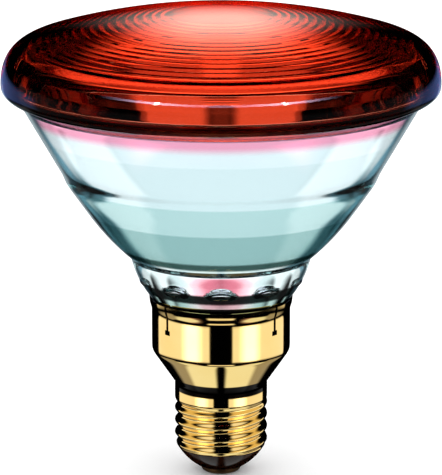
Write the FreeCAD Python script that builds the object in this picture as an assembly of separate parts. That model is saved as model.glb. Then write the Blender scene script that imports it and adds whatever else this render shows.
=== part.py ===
import FreeCAD
import Part
import math
import os

# A pressed-glass infrared reflector lamp on a skirted screw cap, in millimetres.
# +Z runs up the lamp's axis from the cap's contact to the crown of the lens.
# The origin is the centre of the contact's face, where the lamp meets its holder.

# Fits between pieces
FIT = 0.05               # gap left all round where one piece sits in another
SHEET = 0.4              # brass sheet of the skirt and the shell

# Contact and insulator at the tip of the cap
CONTACT_RADIUS = 5.6
CONTACT_HEIGHT = 1.6
CONTACT_EDGE = 0.9       # rounding of the contact's outer edge
CONTACT_HOLE = 1.4       # radius of the hole that the solder fills
CONTACT_STUB = 2.6       # height of the eyelet that stands into the insulator
INSULATOR_TIP = 6.3      # radius of the insulator's lower face
INSULATOR_HEIGHT = 6.2   # from that face up to the shell's lower edge
INSULATOR_BULGE = 0.4    # how far the insulator's flank stands outside a straight cone
INSULATOR_PLUG = 3.0     # height of the part that stands inside the shell

# Screw shell with a knuckle thread of the 27 mm standard
THREAD_MAJOR = 13.15     # radius over the crests
THREAD_MINOR = 12.12     # radius in the roots
THREAD_PITCH = 3.629
THREAD_CREST = 11.45     # height of one crest on the -X side, above the contact's face
SHELL_EDGE = 12.5        # radius at the shell's lower edge
SHELL_NECK = 13.1        # radius of the plain neck above the thread
SHELL_HEIGHT = 18.2
THREAD_START = 1.2       # height over which the thread grows at the lower edge
THREAD_END = 12.0        # height above the lower edge where the thread starts to fade
THREAD_FADE = 2.6        # height over which it fades

# Skirt of the cap
COLLAR_DEPTH = 3.0       # how far the collar reaches down into the shell's neck
CONE_LIFT = 0.2          # gap between the shell's upper edge and the cone's foot
CONE_HEIGHT = 10.2
SKIRT_RADIUS = 19.55
DRUM_HEIGHT = 12.3
RIM_FLARE = 0.7          # the rim stands this much outside the drum
RIM_HEIGHT = 3.0
FLARE_HEIGHT = 1.2       # the height in which most of the flare happens
SKIRT_BEND = 1.0         # inner bend radius of the sheet
SLIT_WIDTH = 0.9
SLIT_DEPTH = 7.6         # from the rim down
SLIT_CROSS = 2.1         # length of the cross-cut at the slit's foot
SLIT_CROSS_HEIGHT = 0.7
SLIT_ANGLE = 50.0        # angle of each slit from the front or the back

# Foot and neck of the glass bowl
FOOT_DEPTH = 7.8         # the foot reaches this far below the skirt's rim
FLOOR = 4.0              # thickness of the glass floor
BOSS_HEIGHT = 1.5
BOSS_WALL = 1.0
RIM_GAP = 0.2            # gap between the skirt's rim and the glass
FOOT_WALL = 3.5          # thickness of the glass round the floor
NECK_WAIST = 23.2        # radius halfway up the neck
NECK_TOP = 25.15
NECK_WAIST_HEIGHT = 5.5
NECK_HEIGHT = 10.8
LUGS = 10
LUG_RADIUS = 1.3
LUG_LENGTH = 7.0
LUG_HEIGHT = 5.9         # centre of the lugs above the skirt's rim
LUG_PROUD = 0.45

# Bowl above the neck, zone by zone
LEDGE_HEIGHT = 1.1
LEDGE = 0.2
LOWER_ZONE_HEIGHT = 14.9
LOWER_WALL = 2.972       # glass outside the mirror at the top of the lower zone
LOWER_STEP = 0.12        # the lower zone starts this much outside the middle one
MIDDLE_ZONE_HEIGHT = 8.4
MIDDLE_WALL = 3.17       # glass outside the mirror at the top of the middle zone
UPPER_STEP = 0.38        # the middle zone starts this much outside the upper one
UPPER_ZONE_HEIGHT = 21.8
SEAM_RADIUS = 56.05
SEAM_WIDTH = 3.6
MIRROR_FOOT = 22.3       # radius at which the mirrored wall meets the neck's bore
MIRROR_FOOT_HEIGHT = 0.7  # that edge above the ledge

# Lens
LENS_RADIUS = 61.0
RIM_DROP = 4.7           # from the widest line of the rim down to the seam
SHOULDER_RISE = 11.7     # from the widest line up to the dome's edge
SHOULDER_WIDTH = 7.7
DOME_RADIUS = 182.0
LENS_WALL = 3.6
RING_INNER = 14.0        # radius of the plain middle
RING_PITCH = 2.45        # width of each ring flute along the inner face
RING_SAG = 0.06          # height of each ring flute
RING_LAND = 3.0          # plain height between the last flute and the seam

# Filament mount
FERRULE_OFFSET = 9.5
FERRULE_RADIUS = 4.0
FERRULE_WALL = 0.35
FERRULE_HEIGHT = 7.0
FERRULE_HOLE = 1.7
POST_RADIUS = 0.6
POST_LEAN = 0.246        # share of the way from bridge to coil that each half of the lean takes
COIL_RADIUS = 1.1
COIL_WIRE = 0.3
COIL_PITCH = 1.6
COIL_TURNS = 14
BRIDGE_RADIUS = 1.6
BRIDGE_OVERHANG = 2.4
BRIDGE_SHARE = 0.482     # the bridge's place on the way up from the floor to the focus
ANCHOR_WIRE = 0.25
TUBE_RADIUS = 2.6
TUBE_BORE = 1.5
TUBE_LENGTH = 8.5
LEAD_RADIUS = 0.4
LEAD_BEND = 2.5
SOLDER_RADIUS = 1.1

# Heights that follow from the sizes above
Z_SHELL = CONTACT_HEIGHT + INSULATOR_HEIGHT
Z_SHELL_TOP = Z_SHELL + SHELL_HEIGHT
Z_COLLAR = Z_SHELL_TOP - COLLAR_DEPTH
Z_CONE = Z_SHELL_TOP + CONE_LIFT
Z_DRUM = Z_CONE + CONE_HEIGHT
Z_RIM = Z_DRUM + DRUM_HEIGHT + RIM_HEIGHT
Z_FOOT = Z_RIM - FOOT_DEPTH
NECK_FOOT = SKIRT_RADIUS + RIM_FLARE - SHEET - RIM_GAP
BORE_FLOOR = SKIRT_RADIUS - SHEET - FIT - FOOT_WALL
Z_FLOOR = Z_FOOT + FLOOR
Z_LEDGE = Z_RIM + NECK_HEIGHT
Z_LOWER = Z_LEDGE + LEDGE_HEIGHT
Z_MIDDLE = Z_LOWER + LOWER_ZONE_HEIGHT
Z_UPPER = Z_MIDDLE + MIDDLE_ZONE_HEIGHT
Z_SEAM = Z_UPPER + UPPER_ZONE_HEIGHT
Z_WIDEST = Z_SEAM + RIM_DROP
Z_DOME = Z_WIDEST + SHOULDER_RISE
DOME_EDGE = LENS_RADIUS - SHOULDER_WIDTH
DOME_CENTRE = Z_DOME - math.sqrt(DOME_RADIUS ** 2 - DOME_EDGE ** 2)
Z_CROWN = DOME_CENTRE + DOME_RADIUS

# The mirrored wall is a paraboloid through the seam and the bore's edge
MIRROR_RIM = SEAM_RADIUS - SEAM_WIDTH
Z_MIRROR = Z_LEDGE + MIRROR_FOOT_HEIGHT
FOUR_F = (MIRROR_RIM ** 2 - MIRROR_FOOT ** 2) / (Z_SEAM - Z_MIRROR)
Z_VERTEX = Z_MIRROR - MIRROR_FOOT ** 2 / FOUR_F
Z_FOCUS = Z_VERTEX + FOUR_F / 4

# The outer wall's zones stand outside the mirrored wall by the glass's thickness
MIDDLE_ZONE_RADIUS = math.sqrt(FOUR_F * (Z_UPPER - Z_VERTEX)) + MIDDLE_WALL
LOWER_ZONE_RADIUS = math.sqrt(FOUR_F * (Z_MIDDLE - Z_VERTEX)) + LOWER_WALL

AXIS = FreeCAD.Vector(0, 0, 1)
ORIGIN = FreeCAD.Vector(0, 0, 0)
os.makedirs("parts", exist_ok=True)


def point(r, z, y=0.0):
    return FreeCAD.Vector(r, y, z)


def line(a, b):
    return Part.makeLine(point(*a), point(*b))


def arc(a, middle, b):
    return Part.Arc(point(*a), point(*middle), point(*b)).toShape()


def bezier(*poles):
    curve = Part.BezierCurve()
    curve.setPoles([point(*p) for p in poles])
    return curve.toShape()


def polyline(*points):
    return [line(a, b) for a, b in zip(points, points[1:])]


def turned(edges):
    """A solid of revolution about the lamp's axis from a closed chain of edges in the XZ plane."""
    face = Part.Face(Part.Wire(edges))
    solid = face.revolve(ORIGIN, AXIS, 360)
    if solid.Volume < 0:
        solid.reverse()
    return solid


def unit(a, b):
    length = math.hypot(b[0] - a[0], b[1] - a[1])
    return ((b[0] - a[0]) / length, (b[1] - a[1]) / length)


def shifted(points, distance):
    """The polyline moved sideways by a distance, to the left of its direction, with mitred corners."""
    out = []
    for i, p in enumerate(points):
        before = unit(points[max(i - 1, 0)], points[max(i, 1)])
        after = unit(points[min(i, len(points) - 2)], points[min(i + 1, len(points) - 1)])
        nx = -before[1] - after[1]
        nz = before[0] + after[0]
        scale = distance / (1 + before[0] * after[0] + before[1] * after[1])
        out.append((p[0] + nx * scale, p[1] + nz * scale))
    return out


def rounded(points, radii):
    """Edges along a polyline whose inner corners are replaced by arcs of the given radii."""
    edges = []
    start = points[0]
    for i in range(1, len(points) - 1):
        corner = points[i]
        back = unit(corner, points[i - 1])
        ahead = unit(corner, points[i + 1])
        half = math.acos(max(-1.0, min(1.0, back[0] * ahead[0] + back[1] * ahead[1]))) / 2
        trim = radii[i - 1] / math.tan(half)
        a = (corner[0] + back[0] * trim, corner[1] + back[1] * trim)
        b = (corner[0] + ahead[0] * trim, corner[1] + ahead[1] * trim)
        middle = unit((0, 0), (back[0] + ahead[0], back[1] + ahead[1]))
        reach = radii[i - 1] / math.sin(half) - radii[i - 1]
        m = (corner[0] + middle[0] * reach, corner[1] + middle[1] * reach)
        edges.append(line(start, a))
        edges.append(arc(a, m, b))
        start = b
    edges.append(line(start, points[-1]))
    return edges


def bent_sheet(points, radius, thickness):
    """Closed chain of edges of a bent sheet: the outer polyline and the same moved inward, both rounded."""
    inner = shifted(points, thickness)
    outer_radii = []
    inner_radii = []
    for a, b, c in zip(points, points[1:], points[2:]):
        turn = (b[0] - a[0]) * (c[1] - b[1]) - (b[1] - a[1]) * (c[0] - b[0])
        outer_radii.append(radius + thickness if turn > 0 else radius)
        inner_radii.append(radius if turn > 0 else radius + thickness)
    chain = rounded(points, outer_radii)
    chain.append(line(points[-1], inner[-1]))
    chain.extend(rounded(inner[::-1], inner_radii[::-1]))
    chain.append(line(inner[0], points[0]))
    return chain


def wire(points, bend, radius):
    """A round wire along a polyline in the XZ plane with rounded corners."""
    path = Part.Wire(rounded(points, [bend] * (len(points) - 2)))
    heading = unit(points[0], points[1])
    ring = Part.makeCircle(radius, point(*points[0]), point(*heading))
    return path.makePipeShell([Part.Wire(ring)], True, False)


def rod(radius, a, b):
    way = b - a
    return Part.makeCylinder(radius, way.Length, a, way)


def save(name, shape):
    if not shape.isValid() or len(shape.Solids) != 1:
        raise ValueError(name + " is not one sound solid")
    solid = shape.Solids[0]
    solid.exportStep("parts/" + name + ".step")
    print(name, round(solid.Volume, 1), "mm3", len(solid.Faces), "faces")


# Front lens: dome, rounded rim, and ring flutes along the whole inner face
def dome(radius, r):
    return DOME_CENTRE + math.sqrt(radius ** 2 - r ** 2)


slope = DOME_EDGE / math.sqrt(DOME_RADIUS ** 2 - DOME_EDGE ** 2)
lens = [arc((0, Z_CROWN), (DOME_EDGE / 2, dome(DOME_RADIUS, DOME_EDGE / 2)), (DOME_EDGE, Z_DOME))]
lens.append(bezier((DOME_EDGE, Z_DOME),
                   (DOME_EDGE + 0.66 * SHOULDER_WIDTH, Z_DOME - 0.66 * SHOULDER_WIDTH * slope),
                   (LENS_RADIUS, Z_WIDEST + 0.52 * SHOULDER_RISE),
                   (LENS_RADIUS, Z_WIDEST)))
lens.append(bezier((LENS_RADIUS, Z_WIDEST),
                   (LENS_RADIUS, Z_WIDEST - 0.6 * RIM_DROP),
                   (SEAM_RADIUS + 0.72 * (LENS_RADIUS - SEAM_RADIUS), Z_SEAM + 0.5 * RIM_DROP),
                   (SEAM_RADIUS, Z_SEAM)))

# The inner face is the outer one moved in by the wall: its points, their inward way and their run
SAMPLES = 120
inside = []
run = 0.0
for edge in lens:
    first, last = edge.ParameterRange
    for i in range(SAMPLES + 1):
        at = first + (last - first) * i / SAMPLES
        p = edge.valueAt(at)
        way = edge.tangentAt(at)
        inward = (way.z, -way.x)
        here = (p.x + LENS_WALL * inward[0], p.z + LENS_WALL * inward[1])
        if inside:
            run += math.hypot(here[0] - inside[-1][1][0], here[1] - inside[-1][1][1])
        inside.append((run, here, inward))


def inner_point(distance, lift):
    """The point this far along the inner face, lifted off it into the lamp."""
    for low, high in zip(inside, inside[1:]):
        if high[0] >= distance:
            break
    t = (distance - low[0]) / max(high[0] - low[0], 1e-9)
    x = low[1][0] + t * (high[1][0] - low[1][0]) + lift * low[2][0]
    z = low[1][1] + t * (high[1][1] - low[1][1]) + lift * low[2][1]
    return (x, z)


inner_radius = DOME_RADIUS - LENS_WALL
flutes = []
middle_edge = (RING_INNER, dome(inner_radius, RING_INNER))
start = middle_edge
reach = inner_radius * math.asin(RING_INNER / inner_radius)
while reach + RING_PITCH < run and inner_point(reach + RING_PITCH, 0)[1] > Z_SEAM + RING_LAND:
    end = inner_point(reach + RING_PITCH, 0)
    flutes.append(arc(end, inner_point(reach + RING_PITCH / 2, RING_SAG), start))
    start = end
    reach += RING_PITCH
lens.append(line((SEAM_RADIUS, Z_SEAM), (MIRROR_RIM, Z_SEAM)))
lens.append(line((MIRROR_RIM, Z_SEAM), start))
lens.extend(flutes[::-1])
lens.append(arc(middle_edge, (RING_INNER / 2, dome(inner_radius, RING_INNER / 2)), (0, Z_CROWN - LENS_WALL)))
lens.append(line((0, Z_CROWN - LENS_WALL), (0, Z_CROWN)))
print(len(flutes), "ring flutes")
save("front_lens", turned(lens))

# Reflector bowl: stepped outer wall, paraboloid inner wall, neck, foot and floor
foot_radius = SKIRT_RADIUS - SHEET - FIT
upper_radius = MIDDLE_ZONE_RADIUS - UPPER_STEP
bowl = polyline((MIRROR_RIM, Z_SEAM), (SEAM_RADIUS, Z_SEAM), (upper_radius, Z_UPPER),
                (MIDDLE_ZONE_RADIUS, Z_UPPER - UPPER_STEP),
                (LOWER_ZONE_RADIUS - LOWER_STEP, Z_MIDDLE), (LOWER_ZONE_RADIUS, Z_MIDDLE - LOWER_STEP))
foot_of_zone = NECK_TOP + LEDGE
fullness = (0.5 * (LOWER_ZONE_RADIUS + foot_of_zone) + 0.9, 0.5 * (Z_MIDDLE + Z_LOWER) - 1.1)
bowl.append(bezier((LOWER_ZONE_RADIUS, Z_MIDDLE - LOWER_STEP), fullness, (foot_of_zone, Z_LOWER)))
bowl.append(line((foot_of_zone, Z_LOWER), (NECK_TOP, Z_LEDGE)))
bowl.append(arc((NECK_TOP, Z_LEDGE), (NECK_WAIST, Z_RIM + NECK_WAIST_HEIGHT),
                (NECK_FOOT, Z_RIM)))
bowl.extend(polyline((NECK_FOOT, Z_RIM), (foot_radius, Z_RIM - RIM_HEIGHT),
                     (foot_radius, Z_FOOT), (0, Z_FOOT), (0, Z_FLOOR), (BORE_FLOOR, Z_FLOOR)))
bowl.append(bezier((BORE_FLOOR, Z_FLOOR), (BORE_FLOOR + 3.4, Z_FLOOR + 5),
                   (MIRROR_FOOT - 1.2, Z_MIRROR - 4.5), (MIRROR_FOOT, Z_MIRROR)))
bowl.append(bezier((MIRROR_FOOT, Z_MIRROR),
                   ((MIRROR_FOOT + MIRROR_RIM) / 2, Z_VERTEX + MIRROR_FOOT * MIRROR_RIM / FOUR_F),
                   (MIRROR_RIM, Z_SEAM)))
glass = turned(bowl)

# Lugs round the neck, each half an ellipse spun about its long axis and sunk into the wall
lug_axis = NECK_WAIST + LUG_PROUD - LUG_RADIUS
seat = point(0, Z_RIM + LUG_HEIGHT, -lug_axis)
oval = Part.ArcOfEllipse(Part.Ellipse(seat, LUG_LENGTH / 2, LUG_RADIUS), 0, math.pi).toShape()
chord = Part.makeLine(oval.Vertexes[1].Point, oval.Vertexes[0].Point)
lug = Part.Face(Part.Wire([oval, chord])).revolve(seat, FreeCAD.Vector(1, 0, 0), 360)
lugs = []
for i in range(LUGS):
    copy = lug.copy()
    copy.rotate(ORIGIN, AXIS, i * 360.0 / LUGS)
    lugs.append(copy)
glass = glass.fuse(lugs)

# Bosses and holes in the floor
boss_radius = FERRULE_RADIUS + BOSS_WALL
for side in (-1, 1):
    centre = point(side * FERRULE_OFFSET, Z_FOOT - BOSS_HEIGHT)
    boss = Part.makeCylinder(boss_radius, BOSS_HEIGHT, centre)
    pocket = Part.makeCylinder(FERRULE_RADIUS + FIT, BOSS_HEIGHT, centre)
    hole = Part.makeCylinder(FERRULE_HOLE, FLOOR, point(side * FERRULE_OFFSET, Z_FOOT))
    glass = glass.fuse(boss).cut(pocket).cut(hole)
glass = glass.cut(Part.makeCylinder(TUBE_BORE, FLOOR, point(0, Z_FOOT)))
save("reflector_bowl", glass.removeSplitter())

# Exhaust tube under the floor, drawn to a closed tip
z_tip = Z_FOOT - TUBE_LENGTH
z_neck = z_tip + 1.4 * TUBE_RADIUS
tube = polyline((TUBE_BORE, Z_FOOT), (TUBE_RADIUS, Z_FOOT), (TUBE_RADIUS, z_neck))
tube.append(bezier((TUBE_RADIUS, z_neck), (TUBE_RADIUS, z_tip + 0.6 * TUBE_RADIUS),
                   (0.5 * TUBE_RADIUS, z_tip), (0, z_tip)))
tube.extend(polyline((0, z_tip), (0, z_neck - TUBE_BORE), (TUBE_BORE, z_neck), (TUBE_BORE, Z_FOOT)))
save("exhaust_tube", turned(tube))

# Ferrules: thimbles that hang in the floor's bosses
z_cup = Z_FOOT - FERRULE_HEIGHT
bore = FERRULE_RADIUS - FERRULE_WALL
for name, side in (("ferrule_left", -1), ("ferrule_right", 1)):
    cup = polyline((0, z_cup), (0.85 * FERRULE_RADIUS, z_cup),
                   (FERRULE_RADIUS, z_cup + 0.15 * FERRULE_RADIUS),
                   (FERRULE_RADIUS, Z_FOOT), (bore, Z_FOOT),
                   (bore, z_cup + FERRULE_WALL + 0.15 * FERRULE_RADIUS),
                   (0.85 * FERRULE_RADIUS - FERRULE_WALL, z_cup + FERRULE_WALL),
                   (0, z_cup + FERRULE_WALL), (0, z_cup))
    shape = turned(cup)
    shape.translate(point(side * FERRULE_OFFSET, 0))
    save(name, shape)

# Posts from the ferrules' bottoms to the ends of the filament
coil_length = COIL_TURNS * COIL_PITCH
z_post = Z_FOCUS - COIL_RADIUS - COIL_WIRE - FIT
z_bridge = Z_FLOOR + BRIDGE_SHARE * (Z_FOCUS - Z_FLOOR)
posts = {}
for name, side in (("post_left", -1), ("post_right", 1)):
    x = side * FERRULE_OFFSET
    top = side * coil_length / 2
    lean = (z_bridge + BRIDGE_RADIUS + z_post) / 2
    half = POST_LEAN * (z_post - z_bridge - BRIDGE_RADIUS)
    path = [(x, z_cup + FERRULE_WALL), (x, lean - half), (top, lean + half), (top, z_post)]
    posts[name] = wire(path, half, POST_RADIUS)
    save(name, posts[name])

# Glass bridge pressed round both posts
half_bridge = FERRULE_OFFSET + BRIDGE_OVERHANG
bridge = rod(BRIDGE_RADIUS, point(-half_bridge, z_bridge), point(half_bridge, z_bridge))
for side in (-1, 1):
    foot = point(side * FERRULE_OFFSET, z_bridge - 2 * BRIDGE_RADIUS)
    bridge = bridge.cut(Part.makeCylinder(POST_RADIUS + FIT, 4 * BRIDGE_RADIUS, foot))
socket = Part.makeCylinder(ANCHOR_WIRE + FIT, 2 * BRIDGE_RADIUS, point(0, z_bridge))
save("post_bridge", bridge.cut(socket))

# Filament: a coil along X at the focus of the paraboloid
helix = Part.makeHelix(COIL_PITCH, coil_length, COIL_RADIUS)
section = Part.makeCircle(COIL_WIRE, point(COIL_RADIUS, 0), FreeCAD.Vector(0, 1, 0))
coil = Part.Wire(helix.Edges).makePipeShell([Part.Wire(section)], True, True)
coil.rotate(ORIGIN, FreeCAD.Vector(0, 1, 0), 90)
coil.translate(point(-coil_length / 2, Z_FOCUS))
save("filament", coil)

# Anchor: a loop round the coil's middle on a stem from the bridge
loop_radius = COIL_RADIUS + COIL_WIRE + FIT + ANCHOR_WIRE
loop = Part.makeTorus(loop_radius, ANCHOR_WIRE, point(0, Z_FOCUS), FreeCAD.Vector(1, 0, 0))
stem = rod(ANCHOR_WIRE, point(0, z_bridge), point(0, Z_FOCUS - loop_radius))
save("filament_anchor", loop.fuse(stem))

# Skirt: one bent sheet turned about the axis, slit from the rim
collar_radius = SHELL_NECK - SHEET - FIT
outline = [(collar_radius, Z_COLLAR), (collar_radius, Z_CONE), (SKIRT_RADIUS, Z_DRUM),
           (SKIRT_RADIUS, Z_DRUM + DRUM_HEIGHT),
           (SKIRT_RADIUS + 0.8 * RIM_FLARE, Z_DRUM + DRUM_HEIGHT + FLARE_HEIGHT),
           (SKIRT_RADIUS + RIM_FLARE, Z_RIM)]
skirt = turned(bent_sheet(outline, SKIRT_BEND, SHEET))
slit_length = 4 * RIM_FLARE + 6 * SHEET
for side in (0, 180):
    for angle in (-SLIT_ANGLE, SLIT_ANGLE):
        start = SKIRT_RADIUS - slit_length / 2
        stem = Part.makeBox(SLIT_WIDTH, slit_length, SLIT_DEPTH + 1,
                            point(-SLIT_WIDTH / 2, Z_RIM - SLIT_DEPTH, -start - slit_length))
        cross = Part.makeBox(SLIT_CROSS, slit_length, SLIT_CROSS_HEIGHT,
                             point(-SLIT_CROSS / 2, Z_RIM - SLIT_DEPTH, -start - slit_length))
        slit = stem.fuse(cross)
        slit.rotate(ORIGIN, AXIS, side + angle)
        skirt = skirt.cut(slit)
save("base_skirt", skirt)

# Screw shell: the sheet's two faces follow one formula, a rounded wave that climbs the pitch in a turn
ROWS = 70
COLUMNS = 40


def smooth(t):
    t = max(0.0, min(1.0, t))
    return t * t * (3 - 2 * t)


def shell_radius(angle, height):
    grow = smooth(height / THREAD_START)
    fade = smooth((height - THREAD_END) / THREAD_FADE)
    mean = (THREAD_MAJOR + THREAD_MINOR) / 2
    base = SHELL_EDGE + (mean - SHELL_EDGE) * grow + (SHELL_NECK - mean) * fade
    turns = (Z_SHELL + height - THREAD_CREST) / THREAD_PITCH
    wave = math.cos(2 * math.pi * turns - (angle - math.pi))
    return base + (THREAD_MAJOR - THREAD_MINOR) / 2 * wave * grow * (1 - fade)


def shell_face(inset):
    grid = []
    for i in range(COLUMNS + 1):
        angle = 2 * math.pi * (i % COLUMNS) / COLUMNS
        column = []
        for j in range(ROWS + 1):
            height = SHELL_HEIGHT * j / ROWS
            r = shell_radius(angle, height) - inset
            column.append(point(r * math.cos(angle), Z_SHELL + height, r * math.sin(angle)))
        grid.append(column)
    surface = Part.BSplineSurface()
    surface.interpolate(grid)
    surface.setUPeriodic()
    return surface.toShape()


def rim_wire(face, z):
    level = [e for e in face.Edges if e.BoundBox.ZLength < 1e-4 and abs(e.BoundBox.ZMin - z) < 1e-4]
    return Part.Wire(level)


outer = shell_face(0.0)
inner = shell_face(SHEET)
ends = []
for z in (Z_SHELL, Z_SHELL_TOP):
    rims = [rim_wire(outer, z), rim_wire(inner, z)]
    ends.append(Part.makeFace(rims, "Part::FaceMakerBullseye"))
sheet = Part.makeShell([outer, inner] + ends)
sheet.sewShape()
shell = Part.makeSolid(sheet)
if shell.Volume < 0:
    shell.reverse()
save("screw_shell", shell)

# Insulator: a glass cone under the shell with a plug inside it
plug = THREAD_MINOR - SHEET - FIT
hole = CONTACT_HOLE + SHEET + FIT
z_eyelet = CONTACT_HEIGHT + CONTACT_STUB
flank = ((INSULATOR_TIP + SHELL_EDGE) / 2 + INSULATOR_BULGE,
         (CONTACT_HEIGHT + Z_SHELL) / 2 - INSULATOR_BULGE)
cone = polyline((SHELL_EDGE, Z_SHELL), (plug, Z_SHELL), (plug, Z_SHELL + INSULATOR_PLUG),
                (LEAD_RADIUS + 3 * FIT, Z_SHELL + INSULATOR_PLUG),
                (LEAD_RADIUS + 3 * FIT, z_eyelet + FIT), (hole, z_eyelet + FIT),
                (hole, CONTACT_HEIGHT), (INSULATOR_TIP, CONTACT_HEIGHT))
cone.append(arc((INSULATOR_TIP, CONTACT_HEIGHT), flank, (SHELL_EDGE, Z_SHELL)))
save("insulator", turned(cone))

# Contact: a plate with a rounded edge and an eyelet that stands into the insulator
plate = polyline((CONTACT_HOLE, 0), (CONTACT_RADIUS - CONTACT_EDGE, 0))
bend = CONTACT_EDGE * (1 - math.sqrt(0.5))
plate.append(arc((CONTACT_RADIUS - CONTACT_EDGE, 0), (CONTACT_RADIUS - bend, bend),
                 (CONTACT_RADIUS, CONTACT_EDGE)))
plate.extend(polyline((CONTACT_RADIUS, CONTACT_EDGE), (CONTACT_RADIUS, CONTACT_HEIGHT),
                      (CONTACT_HOLE + SHEET, CONTACT_HEIGHT), (CONTACT_HOLE + SHEET, z_eyelet),
                      (CONTACT_HOLE, z_eyelet), (CONTACT_HOLE, 0)))
save("centre_contact", turned(plate))

# Solder in the contact's hole, level with the contact's face
solder = polyline((0, 0), (CONTACT_HOLE - FIT, 0), (CONTACT_HOLE - FIT, CONTACT_HEIGHT),
                  (0, CONTACT_HEIGHT), (0, 0))
save("contact_solder", turned(solder))

# Lead from the left ferrule to the contact's solder
z_kink = z_cup - 3.0
lead = [(-FERRULE_OFFSET, z_cup), (-FERRULE_OFFSET, z_kink), (0, z_kink - 0.9 * FERRULE_OFFSET),
        (0, CONTACT_HEIGHT)]
save("contact_lead", wire(lead, LEAD_BEND, LEAD_RADIUS))

# Lead from the right ferrule down to solder on the shell's inner wall
wall_x = collar_radius - SHEET - LEAD_RADIUS - FIT
z_joint = Z_COLLAR - FIT
lead = [(FERRULE_OFFSET, z_cup), (FERRULE_OFFSET, z_kink), (wall_x, z_kink - 3.0), (wall_x, z_joint)]
save("shell_lead", wire(lead, LEAD_BEND, LEAD_RADIUS))
drop = Part.makeSphere(SOLDER_RADIUS, point(wall_x, z_joint))
keep = Part.makeCylinder(SHELL_NECK - SHEET - FIT, SOLDER_RADIUS, point(0, z_joint - SOLDER_RADIUS))
save("shell_solder", drop.common(keep))
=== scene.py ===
# %% [markdown]
# # A red infrared reflector lamp
# The lamp is a pressed-glass bowl with a mirror inside, a domed ruby lens sealed on top, and a skirted
# brass screw cap below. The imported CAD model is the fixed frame: every piece here sits in its coordinates.

# %% Load the frame
import math
import bpy
import numpy as np
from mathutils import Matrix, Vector


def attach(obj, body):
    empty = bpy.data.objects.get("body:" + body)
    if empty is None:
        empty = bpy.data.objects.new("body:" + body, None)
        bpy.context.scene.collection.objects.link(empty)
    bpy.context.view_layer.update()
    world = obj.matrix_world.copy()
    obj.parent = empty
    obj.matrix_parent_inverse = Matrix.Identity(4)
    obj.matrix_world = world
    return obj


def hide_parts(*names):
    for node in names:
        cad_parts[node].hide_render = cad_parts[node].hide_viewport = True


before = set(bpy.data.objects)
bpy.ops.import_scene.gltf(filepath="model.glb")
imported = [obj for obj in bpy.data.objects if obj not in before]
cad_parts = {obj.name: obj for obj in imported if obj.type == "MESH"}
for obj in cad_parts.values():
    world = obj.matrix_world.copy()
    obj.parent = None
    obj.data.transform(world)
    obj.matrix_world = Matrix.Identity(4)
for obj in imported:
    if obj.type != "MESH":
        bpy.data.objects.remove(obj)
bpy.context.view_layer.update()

MM = 0.001

# %% [markdown]
# ## The camera
# The photograph was taken from a little above, with a long lens. The distance, tilt and lens length were
# found by laying the object's outline over the photograph, so the camera is set from those numbers.

# %% Camera
IMAGE = (442, 475)
CAMERA_TILT = math.radians(14.73)
CAMERA_DISTANCE = 853.7
CAMERA_TARGET = 68.0
FOCAL_PIXELS = 3037.9
AXIS_PIXEL = 238.9      # image row of the lens axis; the middle row is 237.5

camera = bpy.data.objects.new("camera", bpy.data.cameras.new("camera"))
camera.data.sensor_width = 36.0
camera.data.lens = FOCAL_PIXELS * 36.0 / max(IMAGE)
camera.data.shift_y = (AXIS_PIXEL - IMAGE[1] / 2) / max(IMAGE)
camera.location = Vector((0.0, -CAMERA_DISTANCE * math.cos(CAMERA_TILT),
                          CAMERA_TARGET + CAMERA_DISTANCE * math.sin(CAMERA_TILT))) * MM
camera.rotation_euler = (math.pi / 2 - CAMERA_TILT, 0.0, 0.0)
bpy.context.scene.collection.objects.link(camera)
bpy.context.scene.camera = camera
print("lens", round(camera.data.lens, 1), "mm at", round(CAMERA_DISTANCE), "mm")

# %% [markdown]
# ## Helpers for surfaces
# Nearly every piece is turned about the lamp's axis, so a piece is a profile of radius and height carried
# round a circle. Pressed glass and bent sheet have no knife edges: the profile is sampled finely, smoothed
# a little, and then thinned so that rows crowd where it bends and spread where it is straight.


# %% Profile helpers
SAMPLE = 0.04           # mm between the points of a line while it is smoothed


def bezier(*poles, rows=60):
    """Points of a Bezier curve: the poles weighted by the Bernstein polynomials of t from 0 to 1."""
    t = np.linspace(0, 1, rows)[:, None]
    n = len(poles) - 1
    weights = [math.comb(n, k) * t ** k * (1 - t) ** (n - k) for k in range(n + 1)]
    return sum(w * np.array(p, float) for w, p in zip(weights, poles))


def arc(a, middle, b, rows=60):
    """Points of the circle arc from a through middle to b: centre from the two perpendicular bisectors."""
    a, m, b = (np.array(p, float) for p in (a, middle, b))
    rows_of = np.array([m - a, b - a])
    centre = np.linalg.solve(2 * rows_of, (rows_of * np.array([m + a, b + a])).sum(1))
    start, end = (math.atan2(*(p - centre)[::-1]) for p in (a, b))
    turn = (end - start + math.pi) % (2 * math.pi) - math.pi
    angle = start + np.linspace(0, 1, rows) * turn
    radius = np.hypot(*(a - centre))
    return centre + radius * np.stack([np.cos(angle), np.sin(angle)], 1)


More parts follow.
